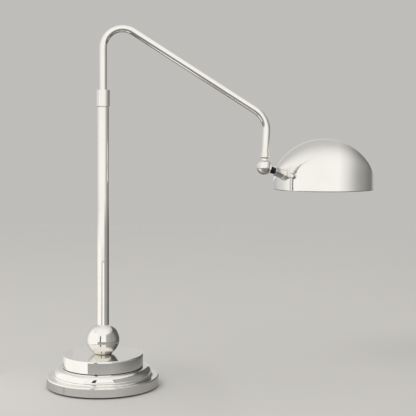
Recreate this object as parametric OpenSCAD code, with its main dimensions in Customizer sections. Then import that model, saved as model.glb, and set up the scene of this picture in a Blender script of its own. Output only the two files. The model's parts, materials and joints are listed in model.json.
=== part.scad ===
// Dome shade desk lamp: stepped round base, ball under the stem, bent arm
// that turns and slides in the stem, ball knuckle and a spun dome shade.
// Millimetres. Origin at the centre of the base on the table, +Z up,
// +X along the arm, -Y towards the front.

/* [Base] */
// Outer radius of the lower base
base_r = 103; // [92:1:115]
// Thickness of the felt pad
pad_h = 3; // [2:0.5:5]
// How far the felt pad stays inside the edge
pad_inset = 6; // [4:1:10]
// Height of the straight band round the lower base
band_h = 16; // [14:1:22]
// Rounding of the band's top edge
band_edge_r = 2; // [1:0.5:3]
// Width of the flat shelf inside the band
shelf_w = 13.3; // [10:0.5:18]
// Height of the small upright step behind the shelf
step_h = 4.2; // [2:0.2:7]
// Radius of the quarter round above the step
quarter_r = 13; // [9:1:16]
// Radius of the upper drum
drum_r = 74; // [60:1:76]
// Height of the upper drum
drum_h = 22.4; // [16:0.4:32]
// Rounding of the drum's top edge
drum_edge_r = 2.8; // [1.6:0.2:5]
// Wall of the spun base shells
base_wall = 1.6; // [1.2:0.1:2.2]
// Height of the shadow gap under the drum
shadow_h = 0.8; // [0.5:0.1:2]
// Thickness of the steel bottom plate
bottom_t = 2; // [1.5:0.5:3]
// Radius of the cord hole in the bush at the rear
cord_hole_r = 3.5; // [2.5:0.1:4]

/* [Ball and stem] */
// Radius of the ball under the stem
ball_r = 30.3; // [26:0.5:36]
// Height of the ball's centre above the drum
ball_lift = 26; // [22:0.5:26]
// Outer radius of the stem
stem_r = 11.1; // [10.6:0.1:13]
// Wall of the stem
stem_wall = 1.5; // [1.2:0.1:1.8]
// Height of the top of the stem above the table
stem_top = 514; // [420:2:560]
// Radius of the turning collar on the stem
collar_r = 12.5; // [12:0.1:15]
// Height of the turning collar
collar_h = 30.7; // [26:0.5:40]

/* [Arm] */
// Outer radius of the arm tube
arm_r = 6.95; // [6.4:0.05:7.2]
// Wall of the arm tube
arm_wall = 1.2; // [0.9:0.1:1.3]
// Straight tube showing between collar and first bend
arm_rise = 76.5; // [68:0.5:110]
// Centre line radius of the first bend
bend_one_r = 36; // [28:1:44]
// Slope of the arm below level, in degrees
arm_slope = 32.5; // [20:0.5:40]
// Distance from the stem to the corner of the second bend
arm_reach = 302; // [250:2:360]
// Centre line radius of the second bend
bend_two_r = 44; // [30:1:56]
// Length from that corner to the end of the tube
end_drop = 73.5; // [62:0.5:90]
// Lean of the end of the tube from upright, in degrees
end_lean = 3.2; // [0:0.2:6]

/* [Knuckle] */
// Radius of the knuckle ball
knuckle_r = 14; // [13:0.5:16]
// Radius of the collar on the end of the arm
end_collar_r = 8.5; // [8.2:0.1:10]
// Height of that collar
end_collar_h = 9.3; // [7:0.1:12]
// Radius of the neck above the ball
neck_r = 6.5; // [6:0.1:7.5]
// Height of the neck showing above the ball
neck_h = 4.2; // [3:0.2:6]
// Thickness of the blade that tilts in the ball's slot
blade_t = 6; // [5:0.2:7]
// Radius of the pivot screw's shank
pivot_r = 2.5; // [2:0.1:3]

/* [Head] */
// Turn of the head from the arm, away from the front, in degrees
head_yaw = 33.5; // [0:0.5:45]
// Slope of the socket below level, in degrees
socket_drop = 17.4; // [12:0.2:22]
// Outer radius of the shade
shade_r = 96.5; // [92:0.5:98]
// Height of the shade
shade_h = 97.5; // [94:0.5:102]
// Height of the upright edge of the shade
skirt_h = 14; // [10:0.5:16]
// Radius of the shade's shoulder
shoulder_r = 70; // [64:0.5:74]
// Wall of the shade
shade_wall = 1.2; // [0.8:0.1:1.6]
// Radius of the bead rolled inside the rim
bead_r = 1.4; // [1:0.1:2]
// Radius of the socket sleeve
sleeve_r = 8.5; // [8:0.1:9.5]
// Start of the sleeve from the middle of the knuckle
sleeve_start = 22.8; // [22:0.1:25]
// Length of the socket sleeve
sleeve_len = 21; // [19:0.5:30]
// Radius of the ring nut outside the shade
ring_r = 10; // [9.6:0.1:12]
// Thickness of the ring nut
ring_t = 5.6; // [4:0.2:7]

/* [Lamp holder and bulb] */
// Radius of the lamp holder's cap
holder_r = 13; // [12.5:0.1:14]
// Depth of the lamp holder's cap
cap_depth = 16; // [13:0.5:18]
// Length of the lamp holder's insulator
insulator_len = 24; // [22:0.5:26]
// Bore radius of the brass screw shell
screw_shell_r = 7.2; // [7.1:0.05:7.4]
// Radius of the tubular bulb
bulb_r = 11; // [9:0.5:12]
// Length of the bulb's glass
glass_len = 50; // [40:1:56]

/* [Fits] */
// Running clearance of parts that turn or slide, on the radius
run_c = 0.06; // [0.03:0.01:0.1]
// Clearance of parts that are pressed, glued or screwed together
seat_c = 0.05; // [0.02:0.01:0.08]
// Free clearance round parts that pass through
free_c = 0.4; // [0.3:0.05:0.6]
// Gap between faces that turn on each other
face_c = 0.1; // [0.05:0.05:0.2]

/* [Travel] */
// Travel of the arm up from where it is shown
slide_up = 120; // [60:5:140]
// Turn of the arm each way, in degrees
arm_turn = 160; // [90:5:160]
// Tilt of the head up from where it is shown, in degrees
tilt_up = 35; // [20:1:38]
// Tilt of the head down from where it is shown, in degrees
tilt_down = 60; // [30:1:62]

/* [Hidden] */
$fn = 96;
fine = 160; // facets of the largest rounds in the preview
cut = 1; // how far a cutter passes a face
lap = 0.8; // degrees that a bend runs into the straights beside it
skin = 0.05; // how far a bend's wall lies inside the wall of a straight

// heights in the base
band_top = pad_h + band_h;
step_top = band_top + step_h;
quarter_top = step_top + quarter_r;
step_r = base_r - shelf_w;
drum_z = quarter_top + shadow_h;
drum_top = drum_z + drum_h;
plate_top = pad_h + bottom_t;
roof_z = quarter_top - base_wall; // underside of the lower shell's top

// clamp rod through the base
rod_r = 5;
rod_bore_r = 3.5;
rod_nut_flat = 17;
rod_nut_h = 6;
rod_washer_r = 12;
rod_washer_t = 1.5;
well_r = 14; // recess for the rod's nut in the ballast
well_top = plate_top + 9.5;
rod_low = plate_top + 1;
spacer_r = 16;

// cord inlet at the rear
bush_r = cord_hole_r + 2;
bush_flange_r = bush_r + 1.5;
bush_flange_t = 2;
bush_len = 12;
cord_z = plate_top + bush_r + 0.5;

// bottom screws
screw_count = 3;
screw_ring_r = 60;
screw_r = 2;
screw_head_r = 4;
screw_head_h = 1.2;
screw_len = 12;

// ball and stem
ball_z = drum_top + ball_lift;
stem_seat = ball_z + ball_r - 10.5; // bottom of the stem in the ball
stem_in = stem_r - stem_wall;
plug_h = 25;
rod_top = stem_seat + plug_h - 2;

// turning joint at the top of the stem
bearing_in = arm_r + free_c + 0.2;
spigot_r = stem_in - 0.6;
bearing_h = 25;
spigot_h = 15;
groove_r = spigot_r - 0.9;
groove_z = stem_top + 8;
groove_half = 1.8;
washer_t = 0.8;
collar_z = stem_top + washer_t + 2 * face_c;
collar_top = collar_z + collar_h;
lip_h = 2.7;
liner_z = stem_top + spigot_h + 0.8;
liner_h = collar_top - lip_h - liner_z;
dog_r = 1.5;
grub_r = 2;
groove_angle = 2 * (arm_turn + asin(dog_r / groove_r));

// arm path in the XZ plane
arm_in = arm_r - arm_wall;
bend_one_z = collar_top + arm_rise;
bend_one_x = bend_one_r;
slope_dir = [cos(arm_slope), -sin(arm_slope)];
end_dir = [-sin(end_lean), -cos(end_lean)];
slope_start = [bend_one_x, bend_one_z] + bend_one_r * [sin(arm_slope), cos(arm_slope)];
slope_len = (arm_reach - slope_start[0]) / slope_dir[0];
corner = slope_start + slope_len * slope_dir;
bend_two_sweep = 90 + end_lean - arm_slope;
tangent_len = bend_two_r * tan(bend_two_sweep / 2);
bend_two_start = corner - tangent_len * slope_dir;
bend_two_mid = bend_two_start - bend_two_r * [sin(arm_slope), cos(arm_slope)];
bend_two_end = corner + tangent_len * end_dir;
arm_end = corner + end_drop * end_dir;

// lower end of the arm inside the stem
stop_ring_h = 14;
stop_gap = 0.5;
bearing_low = stem_top - bearing_h;
stop_ring_top = bearing_low - slide_up - stop_gap;
arm_low = stop_ring_top - stop_ring_h;
stop_ring_r = stem_in - 0.3;
stop_screw_r = 1.25;

// knuckle
groove_gap = 1.3; // gap between the arm's end collar and the neck
wave_t = groove_gap - 2 * face_c;
wave_r = 6;
pivot_drop = groove_gap + neck_h + sqrt(pow(knuckle_r, 2) - pow(neck_r, 2));
pivot = arm_end + pivot_drop * end_dir;
hollow_r = 4; // hollow spigot that carries the leads
hollow_bore = 2.6;
plug_len = 14;
lock_nut_r = arm_in - free_c;
lock_nut_h = 4;
eye_r = 8;
eye_c = 1;
blade_half = 4.5;
washer_gap = 0.35; // friction washer each side of the blade
slot_t = blade_t + 2 * washer_gap + 2 * face_c;
slot_half = blade_half + eye_c;
slot_up = tilt_up - socket_drop;
slot_down = tilt_down + socket_drop;
spigot_low = eye_r + eye_c + 0.5;
pivot_seat = 10.4; // half length of the pivot between its heads
pivot_head_r = 4.2;
pivot_drive = 1.2; // depth of the heads' slot and socket

// shade profile: upright skirt, shoulder arc and crown arc, each tangent to the next
shoulder_x = shade_r - shoulder_r;
crown_rise = shade_h - skirt_h;
crown_r = (pow(shoulder_x, 2) + pow(crown_rise, 2) - pow(shoulder_r, 2))
    / (2 * (crown_rise - shoulder_r));
crown_z = shade_h - crown_r;
join_angle = atan2(skirt_h - crown_z, shoulder_x);

// places along the socket's axis, from the middle of the knuckle
saddle_t = 2.2;
ring_start = sleeve_start + sleeve_len;
seat = ring_start + ring_t + saddle_t;
seat_mid = shoulder_x * cos(socket_drop) + skirt_h * sin(socket_drop);
seat_part = pow(shoulder_x, 2) + pow(skirt_h, 2) - pow(shoulder_r, 2);
axis_len = seat + seat_mid + sqrt(pow(seat_mid, 2) - seat_part); // to the shade's own axis
shade_reach = axis_len * cos(socket_drop);
shade_x = pivot[0] + shade_reach * cos(head_yaw);
shade_y = shade_reach * sin(head_yaw);
rim_z = pivot[1] - axis_len * sin(socket_drop);
neck_start = knuckle_r + 1;
shank_r = 4.5;
shank_end = sleeve_start + 5;
nipple_r = 4.9;
nipple_bore = 3.2;
nipple_start = ring_start - 12;
nut_r = 9;
nut_end = seat + shade_wall + 5;
cap_start = nut_end + 0.6;
cap_wall = 1;
cap_end = cap_start + cap_depth;
nipple_end = cap_start + 4.5;
insulator_r = holder_r - cap_wall - seat_c;
insulator_start = nipple_end + 0.5;
insulator_end = insulator_start + insulator_len;
insulator_floor = 4;
contact_t = 0.6;
contact_rise = 1; // height of the contact's button
contact_z = insulator_start + insulator_floor;
screw_shell_t = 0.5;
screw_shell_start = contact_z + 2;
bulb_cap_r = screw_shell_r - 2 * seat_c;
bulb_cap_start = contact_z + contact_t + contact_rise;
bulb_tip_r = 2.6;
bulb_tip_h = 1.2;
glass_start = insulator_end + 1;
glass_end = glass_start + glass_len;
glass_t = 0.8;
glass_neck_r = bulb_cap_r - 0.6;
neck_low = glass_start - 3; // the glass sits this deep in its cap
tube_start = glass_start + 2;
glass_neck_len = tube_start - neck_low + 2;
core_r = 2.4;

// frames -------------------------------------------------------------

// local +Z runs up the end of the arm tube
module at_arm_end() {
    translate([arm_end[0], 0, arm_end[1]]) rotate([0, end_lean, 0]) children();
}

// local +X points the way the head is turned
module at_pivot() {
    translate([pivot[0], 0, pivot[1]]) rotate([0, 0, head_yaw]) children();
}

// local +Z runs along the socket into the shade
module at_socket() {
    at_pivot() rotate([0, 90 + socket_drop, 0]) children();
}

module at_shade() {
    translate([shade_x, shade_y, rim_z]) rotate([0, 0, head_yaw]) children();
}

module pipe(r_out, r_in, h) {
    difference() {
        cylinder(h = h, r = r_out);
        translate([0, 0, -cut]) cylinder(h = h + 2 * cut, r = r_in);
    }
}

// half section of a round plate with a rounded top edge
module plate_section(r, low, high, edge) {
    translate([0, low]) square([r - edge, high - low]);
    translate([0, low]) square([r, high - low - edge]);
    translate([r - edge, high - edge]) circle(edge);
}

module hex(flat, h) {
    cylinder(h = h, r = flat / sqrt(3), $fn = 6);
}

// base ---------------------------------------------------------------

module felt_pad() {
    color("#2b2a2a") cylinder(h = pad_h, r = base_r - pad_inset, $fn = fine);
}

module bottom_plate() {
    color("#8d8f91") translate([0, 0, pad_h]) difference() {
        cylinder(h = bottom_t, r = base_r - base_wall - seat_c, $fn = fine);
        at_bottom_screws() translate([0, 0, -cut])
            cylinder(h = bottom_t + 2 * cut, r = screw_r + seat_c);
        at_bottom_screws() translate([0, 0, -cut])
            cylinder(h = cut + screw_head_h, r = screw_head_r + seat_c);
    }
}

module at_bottom_screws() {
    for (i = [0 : screw_count - 1]) rotate([0, 0, 30 + i * 360 / screw_count])
        translate([screw_ring_r, 0, 0]) children();
}

module bottom_screws() {
    color("#b9bbbd") translate([0, 0, pad_h]) at_bottom_screws() {
        difference() {
            cylinder(h = screw_head_h, r = screw_head_r);
            translate([0, 0, -cut]) hex(2.5, cut + 0.8);
        }
        cylinder(h = screw_len, r = screw_r);
    }
}

module ballast() {
    wall = base_wall + free_c;
    color("#4a4a4c") difference() {
        rotate_extrude($fn = fine) {
            plate_section(base_r - wall, plate_top, band_top - wall, band_edge_r);
            plate_section(step_r - wall, plate_top, roof_z, quarter_r - base_wall);
        }
        translate([0, 0, plate_top - cut]) cylinder(h = well_top - plate_top + cut, r = well_r);
        cylinder(h = quarter_top, r = rod_r + free_c);
        // channel for the cord, from the rear to the well
        translate([-bush_r - free_c, 0, plate_top - cut])
            cube([2 * (bush_r + free_c), base_r, cord_z + bush_r + free_c - plate_top + cut]);
        at_bottom_screws() cylinder(h = pad_h + screw_len + free_c, r = screw_r + seat_c);
    }
}

module base_shell() {
    color("#d8d6d2") difference() {
        rotate_extrude($fn = fine) difference() {
            union() {
                plate_section(base_r, pad_h, band_top, band_edge_r);
                plate_section(step_r, pad_h, quarter_top, quarter_r);
            }
            translate([0, -cut]) union() {
                plate_section(base_r - base_wall, pad_h, band_top - base_wall + cut, band_edge_r / 2);
                plate_section(step_r - base_wall, pad_h, roof_z + cut, quarter_r - base_wall);
            }
        }
        translate([0, 0, roof_z - cut]) cylinder(h = base_wall + 2 * cut, r = rod_r + free_c);
        translate([0, base_r - quarter_r, cord_z]) rotate([-90, 0, 0])
            cylinder(h = 2 * quarter_r, r = bush_r + seat_c);
    }
}

module shadow_washer() {
    color("#1d1d1e") translate([0, 0, quarter_top]) pipe(drum_r - 1.6, rod_r + free_c, shadow_h);
}

module drum_shell() {
    color("#d8d6d2") rotate_extrude($fn = fine) difference() {
        plate_section(drum_r, drum_z, drum_top, drum_edge_r);
        translate([0, -cut])
            plate_section(drum_r - base_wall, drum_z, drum_top - base_wall + cut, drum_edge_r - base_wall);
        translate([0, drum_z]) square([rod_r + free_c, drum_h + cut]);
    }
}

module drum_spacer() {
    color("#8d8f91") translate([0, 0, drum_z])
        pipe(spacer_r, rod_r + free_c, drum_h - base_wall);
}

module base_ball() {
    color("#dedbd6") difference() {
        translate([0, 0, ball_z]) sphere(ball_r, $fn = fine);
        translate([0, 0, drum_top - ball_r]) cylinder(h = ball_r, r = ball_r);
        translate([0, 0, drum_top - cut]) cylinder(h = 3 * ball_r, r = rod_r + free_c);
        translate([0, 0, stem_seat]) cylinder(h = ball_r, r = stem_r + seat_c);
    }
}

// stem ---------------------------------------------------------------

module stem_tube() {
    color("#dedbd6") translate([0, 0, stem_seat]) pipe(stem_r, stem_in, stem_top - stem_seat);
}

module foot_plug() {
    color("#c9a45c") translate([0, 0, stem_seat]) pipe(stem_in - seat_c, rod_r + seat_c, plug_h);
}

module tie_rod() {
    color("#a9abad") translate([0, 0, rod_low]) pipe(rod_r, rod_bore_r, rod_top - rod_low);
}

module tie_rod_nut() {
    color("#b9bbbd") translate([0, 0, well_top - rod_washer_t - rod_nut_h]) difference() {
        hex(rod_nut_flat, rod_nut_h);
        translate([0, 0, -cut]) cylinder(h = rod_nut_h + 2 * cut, r = rod_r + seat_c);
    }
}

module tie_rod_washer() {
    color("#b9bbbd") translate([0, 0, well_top - rod_washer_t])
        pipe(rod_washer_r, rod_r + free_c, rod_washer_t);
}

module cord_bush() {
    color("#232324") translate([0, base_r + bush_flange_t, cord_z]) rotate([90, 0, 0]) difference() {
        union() {
            cylinder(h = bush_flange_t, r = bush_flange_r);
            cylinder(h = bush_len, r = bush_r);
        }
        translate([0, 0, -cut]) cylinder(h = bush_len + 2 * cut, r = cord_hole_r);
    }
}

module stem_bearing() {
    color("#c9a45c") difference() {
        union() {
            translate([0, 0, bearing_low]) cylinder(h = bearing_h, r = stem_in - seat_c);
            translate([0, 0, stem_top]) cylinder(h = spigot_h, r = spigot_r);
        }
        translate([0, 0, bearing_low - cut])
            cylinder(h = bearing_h + spigot_h + 2 * cut, r = bearing_in);
        // groove for the stop screw, open over the arm's turn and centred on the rear
        translate([0, 0, groove_z - groove_half]) rotate([0, 0, 90 - groove_angle / 2])
            rotate_extrude(angle = groove_angle)
                translate([groove_r, 0]) square([spigot_r - groove_r + cut, 2 * groove_half]);
    }
}

module thrust_washer() {
    color("#e8e4da") translate([0, 0, stem_top])
        pipe(stem_r - 0.4, spigot_r + run_c, washer_t);
}

// turning collar -----------------------------------------------------

module turn_collar() {
    color("#dedbd6") difference() {
        translate([0, 0, collar_z]) cylinder(h = collar_h, r = collar_r);
        translate([0, 0, collar_z - cut])
            cylinder(h = collar_h - lip_h + cut, r = spigot_r + run_c);
        translate([0, 0, collar_z]) cylinder(h = collar_h + cut, r = arm_r + free_c);
        translate([0, 0, groove_z]) rotate([-90, 0, 0]) cylinder(h = collar_r + cut, r = grub_r + seat_c);
    }
}

module collar_liner() {
    color("#3a3a3c") translate([0, 0, liner_z]) pipe(spigot_r + run_c - seat_c, arm_r + run_c, liner_h);
}

module stop_screw() {
    tip = groove_r + 0.2;
    color("#b9bbbd") translate([0, 0, groove_z]) rotate([-90, 0, 0]) difference() {
        union() {
            translate([0, 0, tip]) cylinder(h = collar_r - tip - 0.6, r = dog_r);
            translate([0, 0, spigot_r + run_c]) cylinder(h = collar_r - spigot_r - run_c - 0.4, r = grub_r);
        }
        translate([0, 0, collar_r - 2]) hex(2, 2 + cut);
    }
}

// arm ----------------------------------------------------------------

module straight_run(from, to, r_out, r_in) {
    d = to - from;
    translate([from[0], 0, from[1]]) rotate([0, atan2(d[0], d[1]), 0]) difference() {
        cylinder(h = norm(d), r = r_out);
        translate([0, 0, -cut]) cylinder(h = norm(d) + 2 * cut, r = r_in);
    }
}

module bend(mid, bend_r, first, sweep, r_out, r_in) {
    translate([mid[0], 0, mid[1]]) rotate([90, 0, 0]) rotate([0, 0, first - lap])
        rotate_extrude(angle = sweep + 2 * lap) translate([bend_r, 0]) difference() {
            circle(r_out - skin);
            circle(r_in + skin);
        }
}

module arm_tube() {
    color("#dedbd6") {
        difference() {
            straight_run([0, arm_low], [0, bend_one_z], arm_r, arm_in);
            at_stop_screws() cylinder(h = stop_ring_r, r = stop_screw_r + seat_c);
        }
        bend([bend_one_x, bend_one_z], bend_one_r, 90 - arm_slope, 90 + arm_slope, arm_r, arm_in);
        straight_run(slope_start, bend_two_start, arm_r, arm_in);
        bend(bend_two_mid, bend_two_r, -end_lean, bend_two_sweep, arm_r, arm_in);
        straight_run(bend_two_end, arm_end, arm_r, arm_in);
    }
}

module at_stop_screws() {
    for (side = [0, 180]) translate([0, 0, arm_low + stop_ring_h / 2])
        rotate([90, 0, side]) children();
}

module stop_ring() {
    color("#c9a45c") difference() {
        translate([0, 0, arm_low]) pipe(stop_ring_r, arm_r + seat_c, stop_ring_h);
        at_stop_screws() cylinder(h = stop_ring_r + cut, r = stop_screw_r + seat_c);
    }
}

module stop_ring_screws() {
    color("#b9bbbd") at_stop_screws() translate([0, 0, arm_in + 0.2])
        cylinder(h = stop_ring_r - arm_in - 0.6, r = stop_screw_r);
}

module end_collar() {
    color("#dedbd6") at_arm_end() pipe(end_collar_r, arm_r + seat_c, end_collar_h);
}

module end_plug() {
    color("#c9a45c") at_arm_end() pipe(arm_in - seat_c, hollow_r + run_c, plug_len);
}

// knuckle ------------------------------------------------------------

module knuckle_washer() {
    color("#1d1d1e") at_arm_end() translate([0, 0, face_c - groove_gap])
        pipe(wave_r, hollow_r + run_c, wave_t);
}

module knuckle_ball() {
    color("#dedbd6") difference() {
        union() {
            translate([pivot[0], 0, pivot[1]]) sphere(knuckle_r);
            at_arm_end() translate([0, 0, -pivot_drop]) cylinder(h = pivot_drop - groove_gap, r = neck_r);
        }
        at_arm_end() translate([0, 0, spigot_low - pivot_drop])
            cylinder(h = pivot_drop, r = hollow_r + seat_c);
        at_pivot() rotate([90, 0, 0]) {
            // slot for the blade: round pocket and a wedge open to the front of the head
            translate([0, 0, -slot_t / 2]) cylinder(h = slot_t, r = eye_r + eye_c);
            translate([0, 0, -slot_t / 2]) linear_extrude(slot_t) wedge();
            translate([0, 0, -knuckle_r]) cylinder(h = 2 * knuckle_r, r = pivot_r + run_c);
            for (side = [0, 180]) rotate([side, 0, 0])
                translate([0, 0, pivot_seat]) cylinder(h = knuckle_r, r = pivot_head_r + seat_c);
        }
    }
}

// outline that the blade sweeps over its travel, with room on both sides
module wedge() {
    far = 3 * knuckle_r;
    up = slot_half * [-sin(slot_up), cos(slot_up)];
    down = slot_half * [-sin(slot_down), -cos(slot_down)];
    polygon([
        up,
        up + far * [cos(slot_up), sin(slot_up)],
        far * [cos(slot_down / 2), -sin(slot_down / 2)] * 1.5,
        down + far * [cos(slot_down), -sin(slot_down)],
        down
    ]);
}

module knuckle_spigot() {
    color("#a9abad") at_arm_end() translate([0, 0, spigot_low - pivot_drop])
        pipe(hollow_r, hollow_bore, pivot_drop - spigot_low + plug_len + face_c + lock_nut_h);
}

module knuckle_lock_nut() {
    color("#c9a45c") at_arm_end() translate([0, 0, plug_len + face_c]) difference() {
        pipe(lock_nut_r, hollow_r + seat_c, lock_nut_h);
        for (turn = [0, 90]) rotate([0, 0, turn])
            translate([-lock_nut_r, -0.6, lock_nut_h - 1]) cube([2 * lock_nut_r, 1.2, 1 + cut]);
    }
}

// head that follows the round of the ball
module pivot_head() {
    intersection() {
        translate([0, 0, pivot_seat]) cylinder(h = knuckle_r, r = pivot_head_r);
        sphere(knuckle_r - face_c);
    }
}

module pivot_screw() {
    slot_w = 1;
    color("#c9cbcd") at_pivot() rotate([90, 0, 0]) difference() {
        union() {
            translate([0, 0, -pivot_seat]) cylinder(h = 2 * pivot_seat, r = pivot_r);
            pivot_head();
        }
        translate([-pivot_head_r, -slot_w / 2, knuckle_r - pivot_drive])
            cube([2 * pivot_head_r, slot_w, pivot_drive + cut]);
    }
}

module pivot_nut() {
    color("#c9cbcd") at_pivot() rotate([-90, 0, 0]) difference() {
        pivot_head();
        translate([0, 0, knuckle_r - 2 * pivot_drive]) hex(3, 2 * pivot_drive + cut);
    }
}

// head ---------------------------------------------------------------

module tilt_blade() {
    color("#57585a") difference() {
        union() {
            at_pivot() rotate([90, 0, 0]) translate([0, 0, -blade_t / 2]) cylinder(h = blade_t, r = eye_r);
            at_socket() {
                translate([-blade_half, -blade_t / 2, 0]) cube([2 * blade_half, blade_t, neck_start + 1]);
                translate([0, 0, neck_start]) cylinder(h = sleeve_start - neck_start, r = neck_r);
                translate([0, 0, sleeve_start]) cylinder(h = shank_end - sleeve_start, r = shank_r);
            }
        }
        at_pivot() rotate([90, 0, 0]) translate([0, 0, -blade_t])
            cylinder(h = 2 * blade_t, r = pivot_r + run_c);
    }
}

module friction_washers() {
    color("#1d1d1e") at_pivot() for (side = [0, 180]) rotate([90 + side, 0, 0])
        translate([0, 0, blade_t / 2]) pipe(eye_r - 1, pivot_r + run_c, washer_gap);
}

module socket_sleeve() {
    color("#dedbd6") at_socket() difference() {
        translate([0, 0, sleeve_start]) cylinder(h = ring_start - sleeve_start, r = sleeve_r);
        translate([0, 0, sleeve_start - cut])
            cylinder(h = shank_end - sleeve_start + cut, r = shank_r + seat_c);
        translate([0, 0, sleeve_start]) cylinder(h = axis_len, r = nipple_bore);
        translate([0, 0, nipple_start - 1]) cylinder(h = axis_len, r = nipple_r + seat_c);
    }
}

module ring_nut() {
    color("#dedbd6") at_socket() translate([0, 0, ring_start]) pipe(ring_r, nipple_r + seat_c, ring_t);
}

// half section of the shade, drawn in by off; open below
module shade_section(off, low) {
    reach = 3 * crown_r;
    translate([0, low]) square([shade_r - off, skirt_h - low]);
    intersection() {
        translate([shoulder_x, skirt_h]) circle(shoulder_r - off, $fn = fine);
        polygon([
            [shoulder_x, low],
            [reach, low],
            [shoulder_x, skirt_h] + reach * [cos(join_angle + 20), sin(join_angle + 20)],
            [shoulder_x, skirt_h]
        ]);
    }
    intersection() {
        translate([0, crown_z]) circle(crown_r - off, $fn = fine);
        polygon([
            [0, max(crown_z, low)],
            [shoulder_x, skirt_h],
            [0, crown_z] + reach * [cos(join_angle), sin(join_angle)],
            [0, reach]
        ]);
    }
}

module shade_solid(off, low) {
    at_shade() rotate_extrude($fn = fine) shade_section(off, low);
}

module saddle_washer() {
    color("#cfcac2") difference() {
        at_socket() translate([0, 0, seat - saddle_t]) pipe(ring_r + 0.8, nipple_r + seat_c, 2 * saddle_t);
        shade_solid(0, 0);
    }
}

module shade_dome() {
    color("#dedbd6") difference() {
        union() {
            difference() {
                shade_solid(0, 0);
                shade_solid(shade_wall, -cut);
            }
            at_shade() rotate_extrude($fn = fine)
                translate([shade_r - shade_wall / 4 - bead_r, bead_r]) circle(bead_r);
        }
        at_socket() translate([0, 0, seat - saddle_t])
            cylinder(h = 4 * saddle_t, r = nipple_r + seat_c);
    }
}

module shade_nipple() {
    color("#c9a45c") at_socket() translate([0, 0, nipple_start])
        pipe(nipple_r, nipple_bore, nipple_end - nipple_start);
}

module shade_lock_nut() {
    color("#c9a45c") intersection() {
        at_socket() translate([0, 0, seat]) pipe(nut_r, nipple_r + seat_c, nut_end - seat);
        shade_solid(shade_wall, 0);
    }
}

module holder_cap() {
    color("#dedbd6") at_socket() difference() {
        translate([0, 0, cap_start]) cylinder(h = cap_depth, r = holder_r);
        translate([0, 0, cap_start + cap_wall]) cylinder(h = cap_depth, r = holder_r - cap_wall);
        translate([0, 0, cap_start - cut]) cylinder(h = cap_depth, r = nipple_r + seat_c);
    }
}

module holder_insulator() {
    color("#efeae0") at_socket() difference() {
        translate([0, 0, insulator_start]) cylinder(h = insulator_len, r = insulator_r);
        translate([0, 0, contact_z]) cylinder(h = insulator_len, r = screw_shell_r + screw_shell_t + seat_c);
    }
}

module screw_shell() {
    color("#d3b25f") at_socket() translate([0, 0, screw_shell_start])
        pipe(screw_shell_r + screw_shell_t, screw_shell_r, insulator_end - 1 - screw_shell_start);
}

module centre_contact() {
    color("#d3b25f") at_socket() {
        translate([0, 0, contact_z]) cylinder(h = contact_t, r = bulb_tip_r + 1.4);
        translate([0, 0, contact_z]) cylinder(h = contact_t + contact_rise, r = bulb_tip_r / 2);
    }
}

module bulb_cap() {
    color("#c4c4c2") at_socket() difference() {
        union() {
            translate([0, 0, bulb_cap_start]) cylinder(h = bulb_tip_h, r = bulb_tip_r);
            translate([0, 0, bulb_cap_start + bulb_tip_h])
                cylinder(h = tube_start - bulb_cap_start - bulb_tip_h, r = bulb_cap_r);
        }
        translate([0, 0, neck_low]) cylinder(h = glass_neck_len, r = glass_neck_r + seat_c);
    }
}

// half section of the bulb's glass: neck, tube and round end
module glass_section(off) {
    translate([0, neck_low]) square([glass_neck_r - off, glass_neck_len]);
    translate([0, tube_start + off]) square([bulb_r - off, glass_end - bulb_r - tube_start - off]);
    translate([0, glass_end - bulb_r]) intersection() {
        circle(bulb_r - off);
        translate([0, -cut]) square(bulb_r + cut);
    }
}

module bulb_glass() {
    color("#f4f1ea") at_socket() rotate_extrude() difference() {
        glass_section(0);
        translate([0, neck_low - cut]) square([glass_neck_r - glass_t, glass_neck_len]);
        glass_section(glass_t);
    }
}

module bulb_stem() {
    color("#e9d9a0") at_socket() {
        translate([0, 0, neck_low]) cylinder(h = glass_neck_len, r = glass_neck_r - glass_t - seat_c);
        translate([0, 0, glass_start]) cylinder(h = glass_len - bulb_r, r = core_r);
    }
}

felt_pad();
bottom_plate();
bottom_screws();
ballast();
base_shell();
shadow_washer();
drum_shell();
drum_spacer();
base_ball();
stem_tube();
foot_plug();
tie_rod();
tie_rod_nut();
tie_rod_washer();
cord_bush();
stem_bearing();
thrust_washer();
turn_collar();
collar_liner();
stop_screw();
arm_tube();
stop_ring();
stop_ring_screws();
end_collar();
end_plug();
knuckle_washer();
knuckle_ball();
knuckle_spigot();
knuckle_lock_nut();
pivot_screw();
pivot_nut();
tilt_blade();
friction_washers();
socket_sleeve();
ring_nut();
saddle_washer();
shade_dome();
shade_nipple();
shade_lock_nut();
holder_cap();
holder_insulator();
screw_shell();
centre_contact();
bulb_cap();
bulb_glass();
bulb_stem();
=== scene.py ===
import json
import math

import bmesh
import bpy
from mathutils import Matrix, Vector


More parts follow.
